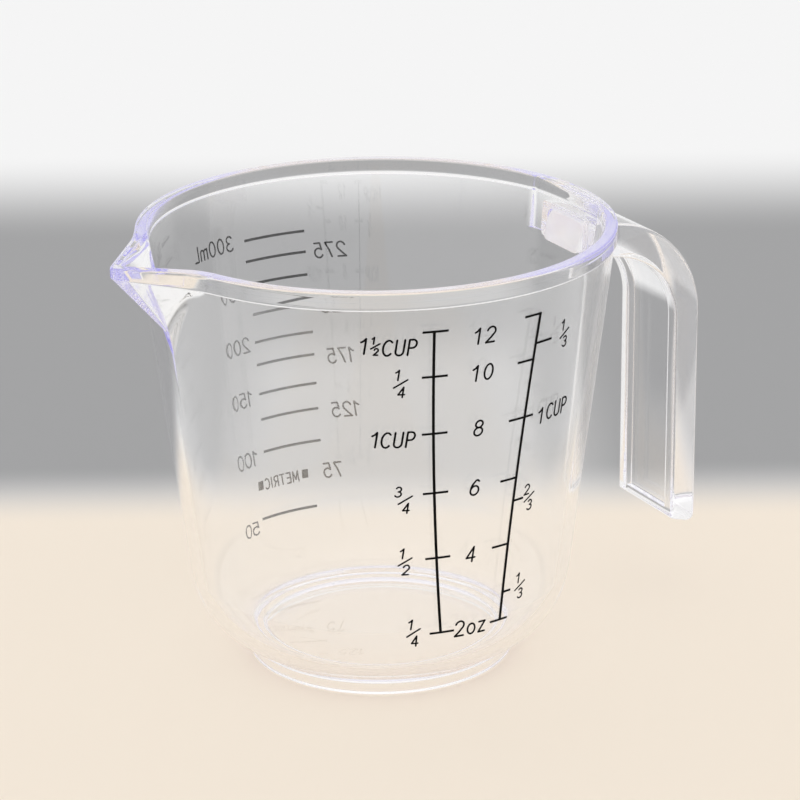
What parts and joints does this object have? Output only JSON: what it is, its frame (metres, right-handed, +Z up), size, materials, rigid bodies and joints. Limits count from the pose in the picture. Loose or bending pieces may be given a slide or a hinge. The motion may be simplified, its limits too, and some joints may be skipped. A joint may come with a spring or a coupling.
{
  "type": "measuring cup",
  "caption": "Clear tapered plastic measuring cup with a pointed spout, a banded rim, a channel-section handle fixed under the rim and printed volume scales.",
  "frame": {"origin": "on the table, under the middle of the cup's overall box", "axes": "+X from the spout to the handle, +Y to the metric scale, +Z up"},
  "size_m": [0.1198, 0.09, 0.0854],
  "materials": {
    "clear_plastic": "clear, polished",
    "black_ink": "screen print"
  },
  "bodies": {
    "root": {"cup_body": "clear_plastic", "handle": "clear_plastic", "us_scale_left": "black_ink", "us_scale_right": "black_ink", "metric_mark_50": "black_ink", "metric_mark_100": "black_ink", "metric_mark_125": "black_ink", "metric_mark_150": "black_ink", "metric_mark_175": "black_ink", "metric_mark_200": "black_ink", "metric_mark_225": "black_ink", "metric_mark_250": "black_ink", "metric_mark_275": "black_ink", "metric_mark_300": "black_ink"}
  },
  "joints": []
}
